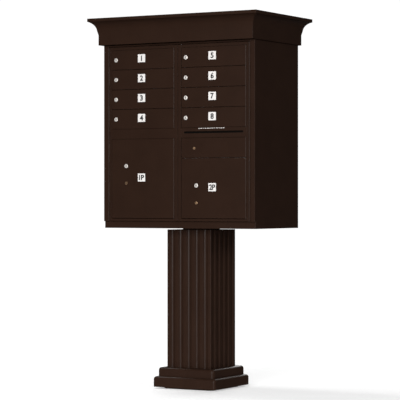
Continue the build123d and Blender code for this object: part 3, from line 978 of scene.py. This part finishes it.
@dataclass
class CamLock:
    """A cam lock through a door: domed bezel, plug with its keyway, threaded body and clamping nut."""

    bench: Workbench
    finish: Finish
    face_radius: float
    body_radius: float
    sheet: float = 0.0025
    nut_height: float = 0.004
    nut_reach: float = 0.0034
    keyway_half_width: float = 0.0013
    threads: int = 5
    thread_depth: float = 0.93
    thread_room: float = 0.009
    flat_share: float = 0.86
    spare: float = 0.01

    def build(self, stem: str, x: float, z: float, door_face: float, back: float) -> list[Dressed]:
        """Model the lock at its place.

        Args:
            stem: Stem of the pieces' names.
            x: The axis across.
            z: The axis height.
            door_face: Front of the door's sheet.
            back: Back end of the lock's body.

        Returns:
            Each piece with its finish.
        """
        r = self.face_radius
        steps = [(PUSH, 0.0009), (INSET, r * 0.09), (PUSH, 0.0005), (INSET, r * 0.16), (PUSH, -0.0005),
                 (INSET, r * 0.05), (PUSH, 0.0007), (INSET, r * 0.06), (PUSH, 0.0002)]
        face = self.bench.turned(f"{stem}.face", (x, door_face, z), r, 0.0004, steps)
        keyway = Keyway(self.keyway_half_width, r * 0.46, bottom=0.0007, floor_back=0.0004)
        floor = keyway.cut(self.bench, face, stem, (x, door_face, z))
        self.bench.soften(face, 0.00018)
        body = self.body(stem, x, z, door_face, back)
        # The keyway floor takes the near-black painted shade finish.
        return [(face, self.finish), (floor, Finish.SHADE), (body, Finish.ZINC)]

    def body(self, stem: str, x: float, z: float, door_face: float, back: float) -> bpy.types.Object:
        """Model the threaded body with two flats, and the nut that clamps it.

        Args:
            stem: Stem of the pieces' names.
            x: The axis across.
            z: The axis height.
            door_face: Front of the door's sheet.
            back: Back end of the body.

        Returns:
            The body and its nut, as one piece.
        """
        r = self.body_radius
        thread = [(PUSH, 0.0009), (SCALE, self.thread_depth), (PUSH, 0.0007), (SCALE, 1 / self.thread_depth)]
        length = back - door_face - self.thread_room
        shank = self.bench.turned(f"{stem}.shank", (x, back, z), r, length, thread * self.threads, 32)
        for side in (-1, 1):
            near, far = x + side * r * self.flat_share, x + side * (r * self.flat_share + self.spare)
            flat = self.bench.slab("flat", (min(near, far), door_face - self.spare, z - 2 * self.spare),
                                   (max(near, far), back + self.spare, z + 2 * self.spare))
            self.bench.cut(shank, flat)
        nut_front = door_face + self.sheet
        nut = self.bench.hexagon(f"{stem}.nut", (x, nut_front + self.nut_height / 2, z), r + self.nut_reach,
                                 self.nut_height)
        hole = self.bench.rod("hole", (x, nut_front - self.spare, z),
                              (x, nut_front + 2 * self.spare, z), r * 1.01)
        self.bench.cut(nut, hole)
        self.bench.soften(nut, 0.0005)
        self.bench.soften(shank, 0.00015, 1)
        return self.bench.joined(f"{stem}.body", [shank, nut])


@dataclass
class Locks:
    """Every lock on the compartment doors."""

    bench: Workbench
    bezel: float = 0.0022
    cam_half_width: float = 0.006
    cam_gap: float = 0.0003

    def build(self) -> None:
        """Model one tenant lock and copy it, then the parcel doors' pairs."""
        tenant = CamLock(self.bench, Finish.NICKEL, 0.0092, 0.0076)
        carrier = CamLock(self.bench, Finish.BRASS, 0.0066, 0.0052)
        first = self.middle("lock_1")
        low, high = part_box("lock_1")
        model = tenant.build("lock_1", first.x, first.z, low.y + self.bezel, high.y)
        for number in range(2, 9):
            node = f"lock_{number}"
            shift = self.middle(node) - first
            for piece, finish in model:
                twin = self.bench.copied(piece, piece.name.replace("lock_1", node), (shift.x, 0.0, shift.z))
                self.bench.fit(twin, finish, body_of(node), node)
        for piece, finish in model:
            self.bench.fit(piece, finish, body_of("lock_1"), "lock_1")
        for number in (1, 2):
            node = f"parcel_locks_{number}"
            low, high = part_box(node)
            for kind, lock in (("key", tenant), ("carrier", carrier)):
                cam_low, cam_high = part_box(f"parcel_{kind}_cam_{number}")
                x, z = (cam_low.x + cam_high.x) / 2, cam_high.z - self.cam_half_width
                stem = f"parcel_{number}_{kind}_lock"
                for piece, finish in lock.build(stem, x, z, low.y + self.bezel, cam_low.y - self.cam_gap):
                    self.bench.fit(piece, finish, body_of(node), node)

    @staticmethod
    def middle(node: str) -> Vector:
        """Middle of a node's box."""
        low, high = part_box(node)
        return (low + high) / 2


@dataclass
class MailLock:
    """The carrier's lock on the outgoing-mail door: die-cast case behind, brass plug, four screws.

    The door's own small rivets, at (X, Z), are modelled with it.
    """

    bench: Workbench
    plug_radius: float = 0.0062
    screw_radius: float = 0.003
    screw_pitch: tuple[float, float] = (0.071, 0.028)
    sheet: float = 0.0025
    keyway: Keyway = Keyway(0.0009, 0.0034, bottom=0.0002, floor_back=-0.0002)
    recess_half: tuple[float, float] = (0.0004, 0.0016)
    recess_depth: float = 0.003
    rim: float = 0.0003
    rivet_radius: float = 0.0024
    rivets: Sequence[tuple[float, float]] = ((0.305, 1.073), (0.3305, 1.0815), (0.3305, 1.058))

    def build(self) -> None:
        """Model the case, the plug, the screws and the rivets."""
        low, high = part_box("mail_lock")
        middle = (low + high) / 2
        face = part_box("mail_door")[0].y
        case = self.bench.slab("mail_lock.case", (low.x, face + self.sheet, low.z), high[:])
        self.bench.inset_face(case, (0, 1, 0), 0.004)
        self.bench.soften(case, 0.0012, 3)
        self.bench.fit(case, Finish.ZINC, "mail_door", "mail_lock")
        self.build_plug(middle.x, face, middle.z)
        dx, dz = self.screw_pitch[0] / 2, self.screw_pitch[1] / 2
        moves = [(middle.x + sx * dx, 0, middle.z + sz * dz) for sx in (-1, 1) for sz in (-1, 1)]
        screws = self.bench.repeated("mail_lock.screws", self.screw(face), moves)
        self.bench.fit(screws, Finish.BRONZE, "mail_door", "mail_lock")
        rivets = [self.rivet(f"door_rivet_{i}", (x, face, z)) for i, (x, z) in enumerate(self.rivets)]
        self.bench.fit(self.bench.joined("mail_door.rivets", rivets), Finish.BRONZE, "mail_door")

    def build_plug(self, x: float, face: float, z: float) -> None:
        """Model the brass plug and its keyway's floor, which is near-black painted shade.

        Args:
            x: The axis across.
            face: Front of the door.
            z: The axis height.
        """
        r = self.plug_radius
        steps = [(PUSH, 0.0006), (INSET, r * 0.14), (PUSH, 0.0004), (INSET, r * 0.2), (PUSH, -0.0004),
                 (INSET, r * 0.06), (PUSH, 0.0005)]
        plug = self.bench.turned("mail_lock.plug", (x, face + 0.0004, z), r, 0.0008, steps)
        floor = self.keyway.cut(self.bench, plug, "mail_lock", (x, face, z))
        self.bench.soften(plug, 0.00016)
        self.bench.fit(plug, Finish.BRASS, "mail_door", "mail_lock")
        self.bench.fit(floor, Finish.SHADE, "mail_door", "mail_lock")

    def screw(self, face: float) -> bpy.types.Object:
        """Model one screw with a cross recess, on the origin's axis.

        Args:
            face: Front of the door.

        Returns:
            The screw's head.
        """
        steps = [(PUSH, 0.0003), (INSET, 0.0007), (PUSH, 0.0002)]
        head = self.bench.turned("mail_screw", (0, face, 0), self.screw_radius, self.rim, steps, 24)
        for half_x, half_z in (self.recess_half, self.recess_half[::-1]):
            recess = self.bench.slab("recess", (-half_x, face - self.recess_depth, -half_z),
                                     (half_x, face - self.rim, half_z))
            self.bench.cut(head, recess)
        self.bench.soften(head, 0.0001, 1)
        return head

    def rivet(self, name: str, place: Point) -> bpy.types.Object:
        """Model one small rivet head.

        Args:
            name: The rivet's name.
            place: Its middle, on the door's face.

        Returns:
            The head.
        """
        steps = [(PUSH, 0.0004), (INSET, 0.0007), (PUSH, 0.0003)]
        head = self.bench.turned(name, place, self.rivet_radius, self.rim, steps, 20)
        self.bench.soften(head, 0.0002)
        return head


@dataclass
class NumberLabels:
    """White vinyl squares with black numerals, one on each tenant and parcel door."""

    bench: Workbench
    width: float = 0.038
    height: float = 0.036
    thickness: float = 0.0004
    border: float = 0.0006
    ink: float = 0.00012
    letter: float = 0.0325
    stroke_offset: float = 0.0011
    letter_pitch: float = 0.92
    widest: float = 0.031
    from_edge: float = 0.1557
    above_middle: float = 0.0048

    def build(self) -> None:
        """Put each door's label on it."""
        for number in range(1, 9):
            self.label(f"door_{number}", str(number), f"tenant_door_{number}")
        for number in (1, 2):
            self.label(f"parcel_door_{number}", f"{number}P", f"parcel_door_{number}")

    def label(self, node: str, words: str, body: str) -> None:
        """One label.

        Args:
            node: The door.
            words: The door's number.
            body: The body that carries it.
        """
        low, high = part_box(node)
        face = low.y
        x = low.x + self.from_edge
        z = (low.z + high.z) / 2 + self.above_middle
        half_w, half_h = self.width / 2, self.height / 2
        plate = self.bench.slab(f"{node}.label", (x - half_w, face - self.thickness, z - half_h),
                                (x + half_w, face + 0.0001, z + half_h))
        self.bench.inset_face(plate, (0, -1, 0), self.border)
        self.bench.soften(plate, 0.00015)
        self.bench.fit(plate, Finish.VINYL, body)
        numeral = self.numeral(f"{node}.numeral", words, x, face - self.thickness, z)
        self.bench.fit(numeral, Finish.INK, body)

    def numeral(self, name: str, words: str, x: float, face: float, z: float) -> bpy.types.Object:
        """Model a number as a thin raised print, centred on its label.

        Args:
            name: The piece's name.
            words: The number.
            x: The label's middle across.
            face: Front of the label.
            z: The label's middle height.

        Returns:
            The print.
        """
        bpy.ops.object.select_all(action="DESELECT")
        bpy.ops.object.text_add()
        text = bpy.context.active_object
        text.data.body = words
        text.data.size = self.letter
        text.data.space_character = self.letter_pitch
        text.data.offset = self.stroke_offset
        text.data.extrude = self.ink / 2
        text.data.resolution_u = 6
        bpy.ops.object.convert(target="MESH")
        piece = bpy.context.active_object
        piece.name = name
        low, high = span([vertex.co for vertex in piece.data.vertices])
        squeeze = min(1.0, self.widest / (high[0] - low[0]))
        left, up = squeeze * (low[0] + high[0]) / 2, (low[1] + high[1]) / 2
        piece.scale = (squeeze, 1.0, 1.0)
        piece.rotation_euler = (math.pi / 2, 0.0, 0.0)
        piece.location = (x - left, face - self.ink / 2, z - up)
        self.bench.pick(piece)
        bpy.ops.object.transform_apply(location=True, rotation=True, scale=True)
        with self.bench.editing(piece):
            bpy.ops.mesh.remove_doubles(threshold=0.000002)
            bpy.ops.mesh.normals_make_consistent(inside=False)
        return piece


@dataclass
class RodGuides:
    """Hooked guides on the right loading door's inner stile, which the latch rods slide behind."""

    bench: Workbench
    levels: Sequence[float] = (0.83, 0.93, 1.24, 1.33, 1.43)
    foot: tuple[float, float] = (0.0062, 0.0150)
    reach: float = 0.0009
    sheet: float = 0.0012
    half_height: float = 0.006
    before_rod: float = 0.0005
    behind_rod: float = 0.0004
    screw_x: float = 0.0112
    screw_radius: float = 0.0022

    def build(self) -> None:
        """Model one guide, as a foot, a leg, a hook and a screw, and copy it to each level."""
        rod_low, rod_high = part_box("latch_rod_upper")
        stile = rod_low.y - self.before_rod
        hook_y = rod_high.y + self.behind_rod
        near, bend = self.foot[0], self.foot[0] + self.sheet
        parts = [self.bench.slab("foot", (near, stile, -self.half_height),
                                 (self.foot[1], stile + self.sheet, self.half_height)),
                 self.bench.slab("leg", (near, stile, -self.half_height),
                                 (bend, hook_y + self.sheet, self.half_height)),
                 self.bench.slab("hook", (self.reach, hook_y, -self.half_height),
                                 (bend, hook_y + self.sheet, self.half_height)),
                 self.bench.rod("screw", (self.screw_x, stile + self.sheet - 0.0002, 0),
                                (self.screw_x, stile + 2 * self.sheet, 0), self.screw_radius, 20)]
        for part in parts:
            self.bench.soften(part, 0.0003)
        guides = self.bench.repeated("rod_guides", self.bench.joined("guide", parts),
                                     [(0, 0, level) for level in self.levels])
        self.bench.fit(guides, Finish.ZINC, "loading_door_right")


@dataclass
class CoverScrews:
    """Straps across the pillar cover's back seam, each with two socket-head screws."""

    bench: Workbench
    strap_half: tuple[float, float] = (0.007, 0.005)
    strap: float = 0.0015
    screw_x: float = 0.004
    screw_radius: float = 0.0026
    socket_radius: float = 0.0013
    socket_depth: float = 0.002

    def build(self) -> None:
        """Model one strap with its screws and copy it to each level."""
        low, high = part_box("cover_screws")
        half_x, half_z = self.strap_half
        strap = self.bench.slab("strap", (-half_x, low.y, -half_z), (half_x, low.y + self.strap, half_z))
        self.bench.soften(strap, 0.0006)
        heads = [self.screw(side * self.screw_x, low.y + self.strap, high.y) for side in (-1, 1)]
        levels = [low.z + half_z, (low.z + high.z) / 2, high.z - half_z]
        straps = self.bench.repeated("cover_screws.finished", self.bench.joined("strap", [strap, *heads]),
                                     [(0, 0, level) for level in levels])
        self.bench.fit(straps, Finish.ZINC, body_of("cover_screws"), "cover_screws")

    def screw(self, x: float, seat: float, top: float) -> bpy.types.Object:
        """Model one socket head.

        Args:
            x: Its axis across.
            seat: Face of the strap that it sits on.
            top: Its outer end.

        Returns:
            The head.
        """
        head = self.bench.rod("head", (x, seat - 0.0002, 0), (x, top, 0), self.screw_radius, 24)
        socket = self.bench.hexagon("socket", (x, top + 0.0002, 0), self.socket_radius, self.socket_depth)
        self.bench.cut(head, socket)
        self.bench.soften(head, 0.0003)
        return head


def body_of(node: str) -> str:
    """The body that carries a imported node."""
    bodies = frame["record"]["behaviour"]["bodies"]
    return next(body for body, nodes in bodies.items() if node in nodes)


# ---------------------------------------------------------------------------------- studio
@dataclass(frozen=True)
class Lamp:
    """A square soft light aimed at the cabinet's middle."""

    name: str
    place: Point
    size: float
    power: float
    target: Point = (0.0, 0.0, 0.9)

    def hang(self) -> None:
        """Add the light to the scene."""
        data = bpy.data.lights.new(self.name, "AREA")
        data.size = self.size
        data.energy = self.power
        lamp = bpy.data.objects.new(self.name, data)
        bpy.context.scene.collection.objects.link(lamp)
        lamp.location = self.place
        aim = Vector(self.target) - Vector(self.place)
        lamp.rotation_euler = aim.to_track_quat("-Z", "Y").to_euler()


LAMPS = (
    Lamp("key", (1.6, -7.0, 1.9), 4.0, 545.0),
    Lamp("fill", (6.5, -2.4, 3.4), 1.8, 142.0),
    Lamp("overhead", (-2.6, 0.4, 5.0), 1.2, 110.0),
    Lamp("left_edge", (-6.5, -1.9, 1.2), 1.4, 14.0),
    Lamp("rear", (-1.5, 6.0, 3.0), 3.5, 160.0),
)


@dataclass
class Studio:
    """Pale floor, soft lights and a level camera on the unit's right front side."""

    yaw: float = math.radians(29.94)
    distance: float = 8.861
    sideways: float = 0.0065
    height: float = 0.843
    lens: float = 176.56
    horizon_drop: float = 0.0014
    floor_radius: float = 1.7
    fade_start: float = 0.45
    seen_level: float = 1.3
    lit_level: float = 0.06

    def build(self) -> None:
        """Make the floor, the world, the lights and the camera."""
        bpy.context.scene.view_settings.view_transform = "Standard"
        self.make_floor()
        self.make_world()
        for lamp in LAMPS:
            lamp.hang()
        self.aim_camera()

    def make_floor(self) -> None:
        """A round pale floor that fades into the white round it."""
        bpy.ops.object.select_all(action="DESELECT")
        bpy.ops.mesh.primitive_circle_add(vertices=96, radius=self.floor_radius, fill_type="NGON")
        floor = bpy.context.active_object
        floor.name = "studio_floor"
        bench = ShaderBench("pale_floor")
        bench.fix(Base_Color=(0.8, 0.8, 0.8, 1.0), Roughness=0.9, Specular_IOR_Level=0.0,
                  Emission_Color=(1.0, 1.0, 1.0, 1.0), Emission_Strength=0.42)
        reach = (bench.axis("X") ** 2 + bench.axis("Y") ** 2) ** 0.5
        fade = reach.rising(self.floor_radius * self.fade_start, self.floor_radius)
        clear = bench.node("ShaderNodeBsdfTransparent")
        faded = bench.node("ShaderNodeMixShader", {},
                           {0: fade, 1: bench.shader.outputs["BSDF"], 2: clear.outputs[0]})
        output = next(node for node in bench.tree.nodes if node.type == "OUTPUT_MATERIAL")
        bench.tree.links.new(faded.outputs[0], output.inputs["Surface"])
        floor.data.materials.append(bench.material)
        floor.visible_glossy = False

    def make_world(self) -> None:
        """White to the eye, and softer as a light."""
        world = bpy.data.worlds.new("studio_world")
        bpy.context.scene.world = world
        world.use_nodes = True
        nodes, links = world.node_tree.nodes, world.node_tree.links
        nodes.clear()
        output = nodes.new("ShaderNodeOutputWorld")
        background = nodes.new("ShaderNodeBackground")
        path = nodes.new("ShaderNodeLightPath")
        level = nodes.new("ShaderNodeMapRange")
        level.inputs["To Min"].default_value = self.lit_level
        level.inputs["To Max"].default_value = self.seen_level
        links.new(path.outputs["Is Camera Ray"], level.inputs["Value"])
        links.new(level.outputs[0], background.inputs["Strength"])
        links.new(background.outputs[0], output.inputs["Surface"])

    def aim_camera(self) -> None:
        """A long lens, level, looking from the right front."""
        back = Vector((math.sin(self.yaw), -math.cos(self.yaw), 0.0))
        right = Vector((math.cos(self.yaw), math.sin(self.yaw), 0.0))
        data = bpy.data.cameras.new("main_camera")
        data.lens = self.lens
        data.sensor_width = 36.0
        data.shift_y = self.horizon_drop
        data.clip_end = 300.0
        camera = bpy.data.objects.new("main_camera", data)
        bpy.context.scene.collection.objects.link(camera)
        camera.location = back * self.distance - right * self.sideways + Vector((0, 0, self.height))
        camera.rotation_euler = (math.pi / 2, 0.0, self.yaw)
        bpy.context.scene.camera = camera


PEDESTAL = ["pedestal_base_plate", "pedestal_post", "loading_hinges"]
BASE_COVERS = ["base_cover_left", "base_cover_right"]
PILLAR_COVERS = ["pillar_cover_left", "pillar_cover_right"]
CABINET = ["crown_cap", "roof_panel", "bottom_pan", "back_panel"]
DOORS = [f"door_{number}" for number in range(1, 9)] + ["parcel_door_1", "parcel_door_2", "mail_door"]
CAMS = [f"cam_{number}" for number in range(1, 9)]
PARCEL_CAMS = [f"parcel_{kind}_cam_{number}" for kind in ("key", "carrier") for number in (1, 2)]
LATCH_WORK = ["mail_bolt", "latch_handle", "latch_rod_upper", "latch_rod_lower", "cabinet_bolts"]
HINGE_RODS = ["hinge_rod_left", "hinge_rods_right"]


def main() -> None:
    """Build every sub-assembly in order, then the studio."""
    logging.basicConfig(level=logging.INFO, format="%(name)s: %(message)s")
    bench = Workbench(PaintShop())
    RecastParts(bench, Finish.PEDESTAL, 0.0008, PEDESTAL).build()
    RecastParts(bench, Finish.BRONZE, 0.0008, BASE_COVERS).build()
    RecastParts(bench, Finish.BRONZE, 0.0005, PILLAR_COVERS).build()
    RecastParts(bench, Finish.BRONZE, 0.001, CABINET).build()
    SidePanels(bench).build()
    BackRivets(bench).build()
    CoverScrews(bench).build()
    RecastParts(bench, Finish.MILL, 0.0003, ["centre_partition"]).build()
    # The slot flap is near-black painted shade, so the mail slot reads as a dark hole.
    RecastParts(bench, Finish.FLAP, 0.0003, ["slot_flap"]).build()
    Shelves(bench).build()
    RecastParts(bench, Finish.BRONZE, 0.0005, ["loading_door_left"]).build()
    slot = SlotPlate(bench)
    right = bench.recast("loading_door_right", 0.0005, slot.room())
    bench.fit(right, Finish.BRONZE, "loading_door_right", "loading_door_right")
    slot.build()
    RecastParts(bench, Finish.BRONZE, 0.0006, DOORS).build()
    RecastParts(bench, Finish.ZINC, 0.0003, CAMS + PARCEL_CAMS + LATCH_WORK).build()
    # The hinge rods take the near-black painted shade, so the door seams in front of them read dark.
    RecastParts(bench, Finish.SHADE, 0.0003, HINGE_RODS).build()
    Locks(bench).build()
    MailLock(bench).build()
    NumberLabels(bench).build()
    RodGuides(bench).build()
    Studio().build()


if __name__ == "__main__":
    main()
